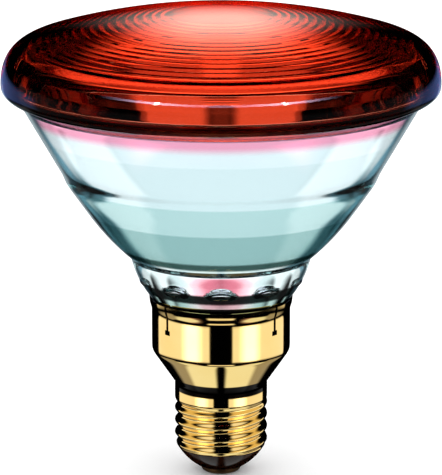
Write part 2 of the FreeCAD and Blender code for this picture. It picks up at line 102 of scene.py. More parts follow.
def profile(parts, soften, step, bend, fine=None):
    """Joins parts into one line, rounds its corners and thins it. Rounding is a running average that is
    soften mm wide. A row comes after step mm or bend degrees of turn; fine = (low, high, gap) adds rows
    gap mm apart between two heights."""
    line = np.concatenate([np.atleast_2d(np.array(p, float)) for p in parts])
    run = np.concatenate([[0], np.hypot(*np.diff(line, axis=0).T)]).cumsum()
    count = int(run[-1] / SAMPLE)
    even = np.linspace(0, run[-1], count)
    line = np.stack([np.interp(even, run, line[:, k]) for k in (0, 1)], 1)
    reach = max(1, int(1.5 * soften / SAMPLE))
    padded = np.concatenate([2 * line[0] - line[reach:0:-1], line, 2 * line[-1] - line[-2:-reach - 2:-1]])
    kernel = np.exp(-0.5 * (np.arange(-reach, reach + 1) * SAMPLE / (0.5 * soften)) ** 2)
    kernel /= kernel.sum()
    smooth = np.stack([np.convolve(padded[:, k], kernel, "valid") for k in (0, 1)], 1)
    smooth[0], smooth[-1] = line[0], line[-1]
    ahead = np.diff(smooth, axis=0)
    heading = np.unwrap(np.arctan2(ahead[:, 1], ahead[:, 0]))
    turn = np.abs(np.diff(heading, prepend=heading[0]))
    weight = np.hypot(*ahead.T) / step + np.degrees(turn) / bend
    if fine:
        inside = (smooth[1:, 1] > fine[0]) & (smooth[1:, 1] < fine[1])
        weight += inside * np.hypot(*ahead.T) / fine[2]
    total = np.concatenate([[0], weight.cumsum()])
    pick = np.searchsorted(total, np.linspace(0, total[-1], int(total[-1]) + 2)).clip(0, count - 1)
    return smooth[np.unique(pick)]


quarter = profile([arc((10, 0), (7.071, 7.071), (0, 10))], soften=0.2, step=2.0, bend=6.0)
print("a quarter circle of 10 mm takes", len(quarter), "rows")


# %% [markdown]
# ## Helpers for meshes
# A grid of points becomes quads between neighbouring rows and columns. Points on the axis would make a
# row of slivers, so each end on the axis is one pole point with a fan of triangles. The signed volume says
# whether the faces point outward, and turns them round when they don't.


# %% Arrays into a mesh
def fill_mesh(name, points, quads, fans, slots):
    """Puts arrays into a mesh: points in mm, quads and fan triangles by index, a material number a face."""
    quads = np.asarray(quads, np.int32).reshape(-1, 4)
    fans = np.asarray(fans, np.int32).reshape(-1, 3)
    halves = np.concatenate([quads[:, [0, 1, 2]], quads[:, [0, 2, 3]], fans])
    a, b, c = (points[halves[:, k]] for k in range(3))
    if np.einsum("ij,ij->i", a, np.cross(b, c)).sum() < 0:
        quads, fans = quads[:, ::-1], fans[:, ::-1]
    mesh = bpy.data.meshes.new(name)
    mesh.vertices.add(len(points))
    mesh.vertices.foreach_set("co", (points * MM).astype(np.float32).ravel())
    corners = np.concatenate([quads.ravel(), fans.ravel()])
    mesh.loops.add(len(corners))
    mesh.loops.foreach_set("vertex_index", corners.astype(np.int32))
    sizes = np.concatenate([np.full(len(quads), 4), np.full(len(fans), 3)])
    mesh.polygons.add(len(sizes))
    mesh.polygons.foreach_set("loop_start", np.concatenate([[0], sizes.cumsum()[:-1]]).astype(np.int32))
    mesh.polygons.foreach_set("material_index", np.asarray(slots, np.int32))
    mesh.update(calc_edges=True)
    mesh.validate()
    return mesh


# %% Grids of points
def turned_grid(line, columns, mirror=None, swell=None):
    """Carries a profile round the axis: point (i, j) is (r_j cos a_i, r_j sin a_i, z_j). A profile that
    starts and ends on the axis gets two poles; any other is closed on itself. swell(angle, r, z) gives new
    radii, and mirror(rows) says which rows of faces take the second material."""
    poles = line[0, 0] < 1e-6
    body = line[1:-1] if poles else line
    angle = np.linspace(0, 2 * np.pi, columns, endpoint=False)[:, None]
    r = np.broadcast_to(body[:, 0], (columns, len(body)))
    z = np.broadcast_to(body[:, 1], r.shape)
    if swell:
        r = swell(angle, r, z)
    grid = np.stack([r * np.cos(angle), r * np.sin(angle), z], 2)
    index = np.arange(columns * len(body)).reshape(columns, len(body))
    beside = np.roll(index, -1, axis=0)
    if poles:
        quads = np.stack([index[:, :-1], beside[:, :-1], beside[:, 1:], index[:, 1:]], 2)
        rows = (line[1:-2] + line[2:-1]) / 2
        ends = np.array([[0, 0, line[0, 1]], [0, 0, line[-1, 1]]])
        first, last = index.size, index.size + 1
        fans = np.concatenate([np.stack([np.full(columns, first), beside[:, 0], index[:, 0]], 1),
                               np.stack([np.full(columns, last), index[:, -1], beside[:, -1]], 1)])
        points = np.concatenate([grid.reshape(-1, 3), ends])
    else:
        after = np.roll(index, -1, axis=1)
        after_beside = np.roll(beside, -1, axis=1)
        quads = np.stack([index, beside, after_beside, after], 2)
        rows = (line + np.roll(line, -1, axis=0)) / 2
        fans = np.zeros((0, 3))
        points = grid.reshape(-1, 3)
    picked = mirror(rows).astype(int) if mirror else np.zeros(len(rows), int)
    slots = np.concatenate([np.tile(picked, columns), np.zeros(len(fans), int)])
    return points, quads.reshape(-1, 4), fans, slots


def sheet_grid(outer, inner, keep):
    """A closed sheet between two grids of points: the kept cells of both faces, and a strip across the
    thickness wherever a kept cell has no kept neighbour. Columns run round the axis and rows up it. The
    inner face takes the second material."""
    columns, rows = outer.shape[:2]
    index = np.arange(columns * rows).reshape(columns, rows)
    beside = np.roll(index, -1, axis=0)
    under = columns * rows
    face = np.stack([index[:, :-1], beside[:, :-1], beside[:, 1:], index[:, 1:]], 2)
    quads = [face[keep], face[keep][:, ::-1] + under]
    for edge, other in ((3, np.roll(keep, 1, axis=0)), (1, np.roll(keep, -1, axis=0))):
        bare = face[keep & ~other]
        a, b = bare[:, edge], bare[:, (edge + 1) % 4]
        quads.append(np.stack([b, a, a + under, b + under], 1))
    blank = np.zeros((columns, 1), bool)
    below = np.concatenate([blank, keep[:, :-1]], 1)
    above = np.concatenate([keep[:, 1:], blank], 1)
    for edge, other in ((0, below), (2, above)):
        bare = face[keep & ~other]
        a, b = bare[:, edge], bare[:, (edge + 1) % 4]
        quads.append(np.stack([b, a, a + under, b + under], 1))
    points = np.concatenate([outer.reshape(-1, 3), inner.reshape(-1, 3)])
    slots = np.concatenate([np.full(len(q), int(k == 1)) for k, q in enumerate(quads)])
    return points, np.concatenate(quads), np.zeros((0, 3)), slots


print("the quarter circle turned in 12 columns has", len(turned_grid(quarter[::-1] + (1, 0), 12)[1]), "quads")


# %% Pieces of the lamp
def make_piece(name, arrays, materials, nodes, crease=30.0):
    """Links a mesh as a piece of the lamp: smooth faces with creases, riding on the one body."""
    mesh = fill_mesh(name, *arrays)
    for material in materials:
        mesh.materials.append(material)
    mesh.shade_smooth()
    mesh.set_sharp_from_angle(angle=math.radians(crease))
    piece = bpy.data.objects.new(name, mesh)
    bpy.context.scene.collection.objects.link(piece)
    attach(piece, "root")
    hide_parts(*nodes)
    mesh.calc_loop_triangles()
    print(name, len(mesh.vertices), "points", len(mesh.loop_triangles), "triangles")


# %% [markdown]
# ## Helpers for finishes
# Colours are written as sRGB hex, as a picture editor shows them, and Blender wants linear light. One
# function adds a node, sets it and links it, so a finish reads as a short list of what feeds what.


# %% Finish helpers
def linear(code):
    """Hex sRGB to linear: the low end is divided by 12.92 and the rest follows the 2.4 power curve."""
    value = np.array([int(code[k:k + 2], 16) for k in (1, 3, 5)]) / 255
    flat = np.where(value <= 0.04045, value / 12.92, ((value + 0.055) / 1.055) ** 2.4)
    return (*flat.tolist(), 1.0)


def add(tree, kind, inputs=None, **settings):
    """Adds a node: settings are its properties, inputs are values or the output sockets that feed it."""
    node = tree.nodes.new("ShaderNode" + kind)
    for name, value in settings.items():
        setattr(node, name, value)
    for name, value in (inputs or {}).items():
        if isinstance(value, bpy.types.NodeSocket):
            tree.links.new(value, node.inputs[name])
        else:
            node.inputs[name].default_value = value
    return node


def new_finish(name):
    """A material whose node tree is empty, and that tree."""
    material = bpy.data.materials.new(name)
    material.use_nodes = True
    material.node_tree.nodes.clear()
    return material, material.node_tree


def per_metre(millimetres):
    """Noise scale whose blobs are about this many millimetres across in Object coordinates."""
    return 1000.0 / millimetres


print("mid grey in linear light:", round(linear("#808080")[0], 3))


# %% [markdown]
# ## Ruby glass
# The lens is pressed from glass that is red all through, so its colour deepens where the glass is thicker:
# the rim is nearly black and the dome glows. Absorption in the volume gives that, where a red surface
# would look like paint. Both faces are fire-polished, so reflections are sharp, and pressing leaves faint
# ripples that bend them a little.


# %% Ruby glass
# a deep red glow where the glass is thin, nearly black where it is thick
ruby, tree = new_finish("pressed_ruby_glass")
place = add(tree, "TexCoord").outputs["Object"]
ripple = add(tree, "TexNoise", {"Vector": place, "Scale": per_metre(14), "Detail": 1.0}).outputs["Fac"]
bump = add(tree, "Bump", {"Height": ripple, "Strength": 0.2, "Distance": 0.00004}).outputs["Normal"]
gloss = add(tree, "BsdfPrincipled", {"Base Color": linear("#FFFFFF"), "Roughness": 0.0, "IOR": 1.5,
                                     "Transmission Weight": 1.0, "Normal": bump})
depth = add(tree, "VolumeAbsorption", {"Color": linear("#FB9204"), "Density": 420.0})
add(tree, "OutputMaterial", {"Surface": gloss.outputs[0], "Volume": depth.outputs[0]})
print(ruby.name)

# %% [markdown]
# ## Clear glass and silvering
# The bowl is clear heat-proof glass with a trace of iron, so long paths through it look blue-green. Its
# inner wall is coated with a bright metal film. Seen from outside, the film is a mirror behind glass, so
# the same closed mesh carries glass on its outside and the film on its inner wall. The film's colour carries
# painted light and shade by height: bright above, painted shade greying each lower zone and darkening bands
# at the lugs and at the joint with the neck, and a painted rosy glow under the seam that stands in for ruby
# light leaking down from the lens. From the cavity the film is bare, clean aluminium.


# %% Clear glass
# sharp reflections and blue-green edges
clear, tree = new_finish("pressed_clear_glass")
place = add(tree, "TexCoord").outputs["Object"]
ripple = add(tree, "TexNoise", {"Vector": place, "Scale": per_metre(9), "Detail": 1.0}).outputs["Fac"]
bump = add(tree, "Bump", {"Height": ripple, "Strength": 0.2, "Distance": 0.00004}).outputs["Normal"]
gloss = add(tree, "BsdfPrincipled", {"Base Color": linear("#FFFFFF"), "Roughness": 0.0, "IOR": 1.48,
                                     "Transmission Weight": 1.0, "Normal": bump})
depth = add(tree, "VolumeAbsorption", {"Color": linear("#84DCE0"), "Density": 26.0})
add(tree, "OutputMaterial", {"Surface": gloss.outputs[0], "Volume": depth.outputs[0]})
print(clear.name)

# %% Silvering behind the glass
# each row: height in mm, half the width of the soft edge, and the tone from there up; the dark and grey
# rows are painted shade, the pink top row is a painted glow of ruby light
FILM_PAINTED_SHADE_AND_GLOW = ((54.9, 0.4, "#1C2826"), (57.7, 0.4, "#EEF5F5"), (66.5, 0.5, "#46605C"),
              (68.8, 0.5, "#A3C1C0"), (78.5, 0.3, "#C6DCDC"), (86.9, 0.3, "#E3ECEF"),
              (100.4, 0.4, "#EDF3F7"), (105.6, 1.6, "#FBACC6"))

# a mirror seen through glass, slightly clouded, under painted bands of shade and a painted rosy glow
silver, tree = new_finish("silvering_with_painted_shade_and_glow")
place = add(tree, "TexCoord").outputs["Object"]
height = add(tree, "SeparateXYZ", {0: place}).outputs["Z"]
cloud = add(tree, "TexNoise", {"Vector": place, "Scale": per_metre(18), "Detail": 4.0}).outputs["Fac"]
tone = add(tree, "Mix", {0: cloud, 6: linear("#AEC6C0"), 7: linear("#BACFCA")}, data_type="RGBA").outputs[2]
for z, soft, colour in FILM_PAINTED_SHADE_AND_GLOW:
    ends = {"From Min": (z - soft) * MM, "From Max": (z + soft) * MM}
    zone = add(tree, "MapRange", {"Value": height, **ends}, interpolation_type="SMOOTHSTEP").outputs["Result"]
    tone = add(tree, "Mix", {0: zone, 6: tone, 7: linear(colour)}, data_type="RGBA").outputs[2]
rough = add(tree, "MapRange", {"Value": cloud, "To Min": 0.01, "To Max": 0.08}).outputs["Result"]
gloss = add(tree, "BsdfPrincipled", {"Base Color": tone, "Metallic": 1.0, "Roughness": rough})
add(tree, "OutputMaterial", {"Surface": gloss.outputs[0]})
print(silver.name, len(FILM_PAINTED_SHADE_AND_GLOW), "tones")

# %% Silvering on the cavity side
# the bright lining that throws light back through the lens
bare, tree = new_finish("bare_aluminium_film")
place = add(tree, "TexCoord").outputs["Object"]
cloud = add(tree, "TexNoise", {"Vector": place, "Scale": per_metre(18), "Detail": 4.0}).outputs["Fac"]
tone = add(tree, "Mix", {0: cloud, 6: linear("#F4F6F7"), 7: linear("#FBFCFC")}, data_type="RGBA").outputs[2]
rough = add(tree, "MapRange", {"Value": cloud, "To Min": 0.01, "To Max": 0.06}).outputs["Result"]
gloss = add(tree, "BsdfPrincipled", {"Base Color": tone, "Metallic": 1.0, "Roughness": rough})
add(tree, "OutputMaterial", {"Surface": gloss.outputs[0]})
print(bare.name)

# %% [markdown]
# ## Brass
# Skirt and shell are drawn from bright brass sheet. Drawing leaves fine lines round the axis, far below a
# tenth of a millimetre, and handling leaves soft tarnish, a little browner and duller. The lines are drawn
# coarser here so that they show at all.


# %% Brass
SHADE_BAND_LOW, SHADE_BAND_HIGH = (24.7, 25.0), (28.8, 28.5)      # heights over which the painted shade band begins and ends

# warm, almost mirror-like gold with soft tarnish; a near-black painted shade band where cone and shell join
brass, tree = new_finish("bright_drawn_brass")
place = add(tree, "TexCoord").outputs["Object"]
tarnish = add(tree, "TexNoise", {"Vector": place, "Scale": per_metre(11), "Detail": 5.0}).outputs["Fac"]
stretched = add(tree, "Mapping", {"Vector": place, "Scale": (0.02, 0.02, 1.0)}).outputs["Vector"]
lines = add(tree, "TexNoise", {"Vector": stretched, "Scale": per_metre(0.5), "Detail": 2.0}).outputs["Fac"]
tone = add(tree, "Mix", {0: tarnish, 6: linear("#F8DC9C"), 7: linear("#F1CD82")},
           data_type="RGBA").outputs[2]
height = add(tree, "SeparateXYZ", {0: place}).outputs["Z"]
low, high = (add(tree, "MapRange", {"Value": height, "From Min": start * MM,
                                    "From Max": end * MM}).outputs["Result"]
             for start, end in (SHADE_BAND_LOW, SHADE_BAND_HIGH))
shade_band = add(tree, "Math", {0: low, 1: high}, operation="MULTIPLY").outputs[0]
tone = add(tree, "Mix", {0: shade_band, 6: tone, 7: linear("#0C0806")}, data_type="RGBA").outputs[2]
rough = add(tree, "MapRange", {"Value": tarnish, "To Min": 0.03, "To Max": 0.1}).outputs["Result"]
bump = add(tree, "Bump", {"Height": lines, "Strength": 0.12, "Distance": 0.00003}).outputs["Normal"]
gloss = add(tree, "BsdfPrincipled",
            {"Base Color": tone, "Metallic": 1.0, "Roughness": rough, "Normal": bump})
add(tree, "OutputMaterial", {"Surface": gloss.outputs[0]})
print(brass.name)

# %% The inside of the brass
# the dull inside of the sheet in near-black brown, a painted shade so that slits and gaps look deep
brass_inside_shaded, tree = new_finish("brass_inside_in_painted_shade")
place = add(tree, "TexCoord").outputs["Object"]
scale = add(tree, "TexNoise", {"Vector": place, "Scale": per_metre(4), "Detail": 4.0}).outputs["Fac"]
tone = add(tree, "Mix", {0: scale, 6: linear("#241A12"), 7: linear("#3A2A1A")}, data_type="RGBA").outputs[2]
rough = add(tree, "MapRange", {"Value": scale, "To Min": 0.45, "To Max": 0.7}).outputs["Result"]
gloss = add(tree, "BsdfPrincipled", {"Base Color": tone, "Metallic": 1.0, "Roughness": rough})
add(tree, "OutputMaterial", {"Surface": gloss.outputs[0]})
print(brass_inside_shaded.name)

# %% [markdown]
# ## Small metals and the dark glass
# The remaining metals differ in colour and polish only: stamped contact brass, darkened by painted shade,
# soft solder, nickel-iron thimbles, nickel wire, dark tungsten and tinned copper. One table and one loop make
# them. The insulator is moulded glass so dark that light never comes back out, with a fire-polished surface.


# %% Small metals
# each row: name, light and dark tone, lowest and highest roughness, and the grain in mm
metals = {}      # small grey or brown glints, told apart by colour and polish
for name, light, dark, low, high, grain in (
        # the contact's dark brown is painted shade, as where it stands on the floor
        ("stamped_brass_in_painted_shade", "#5A4630", "#2E2318", 0.3, 0.5, 2.5),
        ("soft_solder", "#C9C9C4", "#9C9C98", 0.2, 0.45, 1.2),
        ("nickel_iron", "#B9B4A8", "#97928A", 0.2, 0.4, 3.0),
        ("nickel_wire", "#C6C0B4", "#A39E94", 0.15, 0.3, 2.0),
        ("tungsten_wire", "#6E6D70", "#4A494C", 0.3, 0.5, 1.0),
        ("tinned_copper", "#CBC5B8", "#B08F6F", 0.2, 0.4, 2.0)):
    material, tree = new_finish(name)
    place = add(tree, "TexCoord").outputs["Object"]
    grit = add(tree, "TexNoise", {"Vector": place, "Scale": per_metre(grain), "Detail": 4.0}).outputs["Fac"]
    tone = add(tree, "Mix", {0: grit, 6: linear(light), 7: linear(dark)}, data_type="RGBA").outputs[2]
    rough = add(tree, "MapRange", {"Value": grit, "To Min": low, "To Max": high}).outputs["Result"]
    bump = add(tree, "Bump", {"Height": grit, "Strength": 0.2, "Distance": 0.00005}).outputs["Normal"]
    gloss = add(tree, "BsdfPrincipled",
                {"Base Color": tone, "Metallic": 1.0, "Roughness": rough, "Normal": bump})
    add(tree, "OutputMaterial", {"Surface": gloss.outputs[0]})
    metals[name] = material
print(len(metals), "metals")

# %% Dark glass
# brown-black with soft highlights, between glass and stone
dark_glass, tree = new_finish("moulded_dark_glass")
place = add(tree, "TexCoord").outputs["Object"]
swirl = add(tree, "TexNoise", {"Vector": place, "Scale": per_metre(5), "Detail": 3.0}).outputs["Fac"]
tone = add(tree, "Mix", {0: swirl, 6: linear("#120703"), 7: linear("#2A1308")}, data_type="RGBA").outputs[2]
rough = add(tree, "MapRange", {"Value": swirl, "To Min": 0.05, "To Max": 0.14}).outputs["Result"]
bump = add(tree, "Bump", {"Height": swirl, "Strength": 0.25, "Distance": 0.0001}).outputs["Normal"]
gloss = add(tree, "BsdfPrincipled", {"Base Color": tone, "Roughness": rough, "IOR": 1.35, "Normal": bump})
add(tree, "OutputMaterial", {"Surface": gloss.outputs[0]})
print(dark_glass.name)

# %% [markdown]
# ## The lens
# A shallow dome with a rounded shoulder and a rim that draws in to the seam. Its inner face carries ring
# flutes that spread the beam; they are half as deep as in the CAD model, because deeper ones cut the glow
# into stripes. The whole outline, outside and inside, is one profile from the crown round to the middle of
# the inner face, turned about the axis, so the glass is one closed volume.

# %% Lens outline
DOME_RADIUS, LENS_WALL, DOME_EDGE, LENS_RADIUS, SEAM_RADIUS = 182.0, 3.6, 53.3, 61.0, 56.05
Z_SEAM, Z_WIDEST, Z_DOME, MIRROR_RIM = 108.7, 113.4, 125.1, 52.45
RING_INNER, RING_PITCH, RING_SAG = 14.0, 2.45, 0.03    # the plain middle, and the flutes' pitch and depth
SEAM_GAP = 0.04         # air between lens and bowl, so that their faces never coincide
SEAM_LAND = 3.0         # height above the seam where the flutes begin
dome_centre = Z_DOME - math.sqrt(DOME_RADIUS ** 2 - DOME_EDGE ** 2)
slope = DOME_EDGE / math.sqrt(DOME_RADIUS ** 2 - DOME_EDGE ** 2)
shoulder = LENS_RADIUS - DOME_EDGE


def dome_line(radius, r):
    """Height of the sphere of this radius about the dome's centre, at distance r from the axis."""
    r = np.asarray(r, float)
    return np.stack([r, dome_centre + np.sqrt(radius ** 2 - r ** 2)], 1)


lens_outer = np.concatenate([
    dome_line(DOME_RADIUS, np.linspace(0, DOME_EDGE, 400)),
    bezier((DOME_EDGE, Z_DOME), (DOME_EDGE + 0.66 * shoulder, Z_DOME - 0.66 * shoulder * slope),
           (LENS_RADIUS, Z_WIDEST + 0.52 * (Z_DOME - Z_WIDEST)), (LENS_RADIUS, Z_WIDEST), rows=200),
    bezier((LENS_RADIUS, Z_WIDEST), (LENS_RADIUS, Z_WIDEST - 0.6 * (Z_WIDEST - Z_SEAM)),
           (SEAM_RADIUS + 0.72 * (LENS_RADIUS - SEAM_RADIUS), Z_SEAM + 0.5 * (Z_WIDEST - Z_SEAM)),
           (SEAM_RADIUS, Z_SEAM + SEAM_GAP), rows=120)])
lens_outer = lens_outer[np.append(True, np.hypot(*np.diff(lens_outer, axis=0).T) > 1e-6)]
print("lens outline", len(lens_outer), "points, crown at", round(lens_outer[0, 1], 2), "mm")


# %% Lens
def fluted(line):
    """The line moved inward by the wall, with ribs that stand further in: along the moved line each rib is
    a parabola RING_SAG high and RING_PITCH long, from the edge of the plain middle down to the seam."""
    along = np.gradient(line, axis=0)
    along /= np.hypot(*along.T)[:, None]
    inward = np.stack([along[:, 1], -along[:, 0]], 1)
    moved = line + LENS_WALL * inward
    run = np.append(0, np.hypot(*np.diff(moved, axis=0).T)).cumsum()
    share = ((run - RING_INNER) / RING_PITCH) % 1.0
    rib = np.where(run > RING_INNER, RING_SAG * 4 * share * (1 - share), 0)
    keep = moved[:, 1] > Z_SEAM + SEAM_LAND
    return (moved + rib[:, None] * inward)[keep]


lens_line = profile([lens_outer, [(MIRROR_RIM, Z_SEAM + SEAM_GAP)], fluted(lens_outer)[::-1]],
                    soften=0.2, step=2.0, bend=2.5)
lens_line[-1, 0] = 0.0
make_piece("lens", turned_grid(lens_line, columns=256), [ruby], ["front_lens"], crease=40)

# %% [markdown]
# ## The reflector bowl
# Outside, the bowl climbs in three zones with a notch and a break between them, above a waisted neck with
# a ring of small oval lugs and a foot that sits in the skirt. Inside, the wall is a paraboloid with the
# filament at its focus. The lugs are swellings of the turned surface, so they stay one skin with the neck.

# %% Bowl outline
MIRROR_FOOT, Z_MIRROR, FLOOR_RADIUS, Z_FLOOR, Z_FOOT = 22.3, 63.2, 15.6, 47.9, 43.9
FOUR_F = (MIRROR_RIM ** 2 - MIRROR_FOOT ** 2) / (Z_SEAM - Z_MIRROR)
Z_VERTEX = Z_MIRROR - MIRROR_FOOT ** 2 / FOUR_F
mirror_r = np.linspace(MIRROR_RIM, MIRROR_FOOT, 90)
bowl_line = profile([
    [(0, Z_FOOT), (19.1, Z_FOOT), (19.1, 48.7), (19.65, 51.7)],
    arc((19.65, 51.7), (23.2, 57.2), (25.15, 62.5)),
    bezier((25.35, 63.6), (32.775, 69.95), (38.4, 78.38)),
    bezier((42.75, 84.68), (43.95, 86.4), (43.9, 87.2), (44.75, 88.8)),
    [(SEAM_RADIUS, Z_SEAM), (MIRROR_RIM, Z_SEAM)],
    np.stack([mirror_r, Z_VERTEX + mirror_r ** 2 / FOUR_F], 1),
    bezier((MIRROR_FOOT, Z_MIRROR), (MIRROR_FOOT - 1.2, Z_MIRROR - 4.5),
           (FLOOR_RADIUS + 3.4, Z_FLOOR + 5), (FLOOR_RADIUS, Z_FLOOR)),
    [(0, Z_FLOOR)],
], soften=0.3, step=2.0, bend=6.0, fine=(54.8, 60.0, 0.14))
print("bowl outline", len(bowl_line), "rows, focus at", round(Z_VERTEX + FOUR_F / 4, 1), "mm")

# %% Lugs and silvered rows
LUGS, LUG_HALF, LUG_RADIUS, LUG_AXIS, LUG_HEIGHT = 10, 3.5, 1.3, 22.35, 57.6
LUG_BLEND = 0.12                    # mm over which a lug runs out into the wall
NECK_INNER, NECK_OUTER = 20.0, 25.5     # radii between which the neck's outside lies
Z_FILM, FILM_EDGE = 50.0, 0.2       # lower edge of the silvering, and the bare strip under the seam


def with_lugs(angle, r, z):
    """Radius of the neck with lugs: the larger of the wall and an ellipsoid LUG_HALF long and LUG_RADIUS
    thick laid along the wall at each lug, blended so that its edge runs out softly."""
    pitch = 2 * np.pi / LUGS
    off = (angle + np.pi / 2 + pitch / 2) % pitch - pitch / 2
    left = 1 - (LUG_AXIS * np.sin(off) / LUG_HALF) ** 2 - ((z - LUG_HEIGHT) / LUG_RADIUS) ** 2
    lug = LUG_AXIS + LUG_RADIUS * np.sqrt(left.clip(0)) - 4 * (-left).clip(0, 3)
    neck = (r > NECK_INNER) & (r < NECK_OUTER) & (np.abs(left) < 3)
    return r + np.where(neck, LUG_BLEND * np.logaddexp(0, (lug - r) / LUG_BLEND), 0)


def silvered(rows):
    """True for rows of the inner wall, which come after the seam, from just under it down to Z_FILM."""
    inside = np.arange(len(rows)) > rows[:, 1].argmax()
    return inside & (rows[:, 1] < Z_SEAM - FILM_EDGE) & (rows[:, 1] > Z_FILM)


print(LUGS, "lugs,", silvered(bowl_line).sum(), "silvered rows")

# %% Bowl
bowl_arrays = turned_grid(bowl_line, columns=300, mirror=silvered, swell=with_lugs)
make_piece("bowl", bowl_arrays, [clear, silver], ["reflector_bowl"], crease=50)

# %% [markdown]
# ## The film's bare side
# A mirror film has two sides. Through the bowl's glass it shows the painted shade and glow above; from the
# cavity it is brighter, and the lens glows with what it throws back. So a film a few hundredths of a
# millimetre thick lies just inside the wall, clear of the glass so that no two faces coincide.

# %% The film's bare side
FILM_NEAR, FILM_FAR = 0.04, 0.07        # mm from the glass to the film's two faces
wall = bowl_line[bowl_line[:, 1].argmax():]
wall = wall[(wall[:, 1] < Z_SEAM - FILM_EDGE) & (wall[:, 1] > Z_FILM)]
along = np.gradient(wall, axis=0)
along /= np.hypot(*along.T)[:, None]
inward = np.stack([along[:, 1], -along[:, 0]], 1)
film_line = np.concatenate([wall + FILM_NEAR * inward, (wall + FILM_FAR * inward)[::-1]])
make_piece("film", turned_grid(film_line, columns=200), [bare], ["reflector_bowl"],
           crease=50)

# %% [markdown]
# ## The skirt
# One sheet of brass: a collar inside the shell's neck, a cone, a drum and a rim that flares over the foot
# of the glass. Four T-shaped slits let the rim spring. The sheet is two grids a sheet's thickness apart,
# with the slits' cells left out and their edges closed.

# %% Skirt outline
SHEET = 0.4             # thickness of the brass
SLITS, SLIT_HALF, CROSS_HALF, Z_SLIT, Z_CROSS = (50.0, 130.0, 230.0, 310.0), 0.45, 1.05, 44.1, 44.8
skirt_line = profile([[(12.65, 23.0), (12.65, 26.2), (19.55, 36.4), (19.55, 48.7), (20.11, 49.9),
                       (20.25, 51.7)]], soften=1.3, step=1.2, bend=4.0)
heights = np.array([Z_SLIT, Z_CROSS])
near = np.abs(skirt_line[:, 1][:, None] - heights).argmin(0)
skirt_line[near, 1] = heights
along = np.gradient(skirt_line, axis=0)
along /= np.hypot(*along.T)[:, None]
lining = skirt_line - SHEET * np.stack([along[:, 1], -along[:, 0]], 1)
print("skirt outline", len(skirt_line), "rows")

# %% Columns of the skirt
FRONT, COLUMN_STEP = -90.0, 1.4     # bearing of the camera's side, and the widest column, in degrees
SLIT_RADIUS = 19.75                 # radius at which the slits' widths are measured
edges = np.array([FRONT + s + side * math.degrees(half / SLIT_RADIUS)
                  for s in SLITS for side in (-1, 1) for half in (CROSS_HALF, SLIT_HALF)])
edges = np.sort(edges % 360)
columns = np.concatenate([np.linspace(a, b, max(2, int((b - a) / COLUMN_STEP)), endpoint=False)
                          for a, b in zip(edges, np.append(edges[1:], edges[0] + 360))])
turn = np.radians(columns)[:, None]


def round_axis(line):
    """The grid of a profile carried round the axis at the columns' angles."""
    r, z = line[:, 0], line[:, 1]
    return np.stack([r * np.cos(turn), r * np.sin(turn), np.broadcast_to(z, (len(turn), len(z)))], 2)


print(len(columns), "columns, of which", len(edges), "lie on edges of slits")

# %% Skirt
cell = (columns + np.append(columns[1:], columns[0] + 360)) / 2
away = np.abs((cell[:, None] - FRONT - np.array(SLITS) + 180) % 360 - 180).min(1)
gap = np.radians(away) * SLIT_RADIUS
level = (skirt_line[1:, 1] + skirt_line[:-1, 1]) / 2
stem = (gap[:, None] < SLIT_HALF) & (level > Z_SLIT)
cross = (gap[:, None] < CROSS_HALF) & (level > Z_SLIT) & (level < Z_CROSS)
make_piece("skirt", sheet_grid(round_axis(skirt_line), round_axis(lining), ~(stem | cross)),
           [brass, brass_inside_shaded], ["base_skirt"], crease=40)

# %% [markdown]
# ## The screw shell
# The thread is rolled into thin sheet, so inside and outside wave together: a rounded wave that climbs one
# pitch in a turn, grows from the lower edge and fades into the plain neck. A spiral sweep would need its
# ends trimmed; a radius that depends on angle and height gives the run-in and run-out directly.

# %% Screw shell
MAJOR, MINOR, PITCH, CREST, SHELL_EDGE, SHELL_NECK = 13.15, 12.12, 3.629, 11.45, 12.5, 13.1
Z_SHELL, SHELL_HEIGHT, GROW, FADE_START, FADE = 7.8, 18.2, 1.2, 12.0, 2.6
SHELL_COLUMNS, SHELL_ROWS = 200, 130


def ease(t):
    """Smooth step from 0 to 1: 3t^2 - 2t^3, flat at both ends."""
    t = np.clip(t, 0, 1)
    return t * t * (3 - 2 * t)


def shell_face(inset):
    """Radius = a base that runs from edge to thread mean to neck, plus half the thread's depth times the
    cosine of height over pitch less angle, faded at both ends; less the inset for the inner face."""
    angle = np.linspace(0, 2 * np.pi, SHELL_COLUMNS, endpoint=False)[:, None]
    height = np.linspace(0, SHELL_HEIGHT, SHELL_ROWS)[None, :]
    grow, fade = ease(height / GROW), ease((height - FADE_START) / FADE)
    mean = (MAJOR + MINOR) / 2
    base = SHELL_EDGE + (mean - SHELL_EDGE) * grow + (SHELL_NECK - mean) * fade
    wave = np.cos(2 * np.pi * (Z_SHELL + height - CREST) / PITCH - (angle - np.pi))
    r = base + (MAJOR - MINOR) / 2 * wave * grow * (1 - fade) - inset
    z = np.broadcast_to(Z_SHELL + height, r.shape)
    return np.stack([r * np.cos(angle), r * np.sin(angle), z], 2)


whole = np.ones((SHELL_COLUMNS, SHELL_ROWS - 1), bool)
make_piece("shell", sheet_grid(shell_face(0.0), shell_face(SHEET), whole),
           [brass, brass_inside_shaded], ["screw_shell"], crease=45)

# %% [markdown]
# ## Insulator and contact
# A cone of dark glass plugs the shell and carries the contact, a plate with a rounded edge and an eyelet.
# Both are turned rings with a hole for the lead.

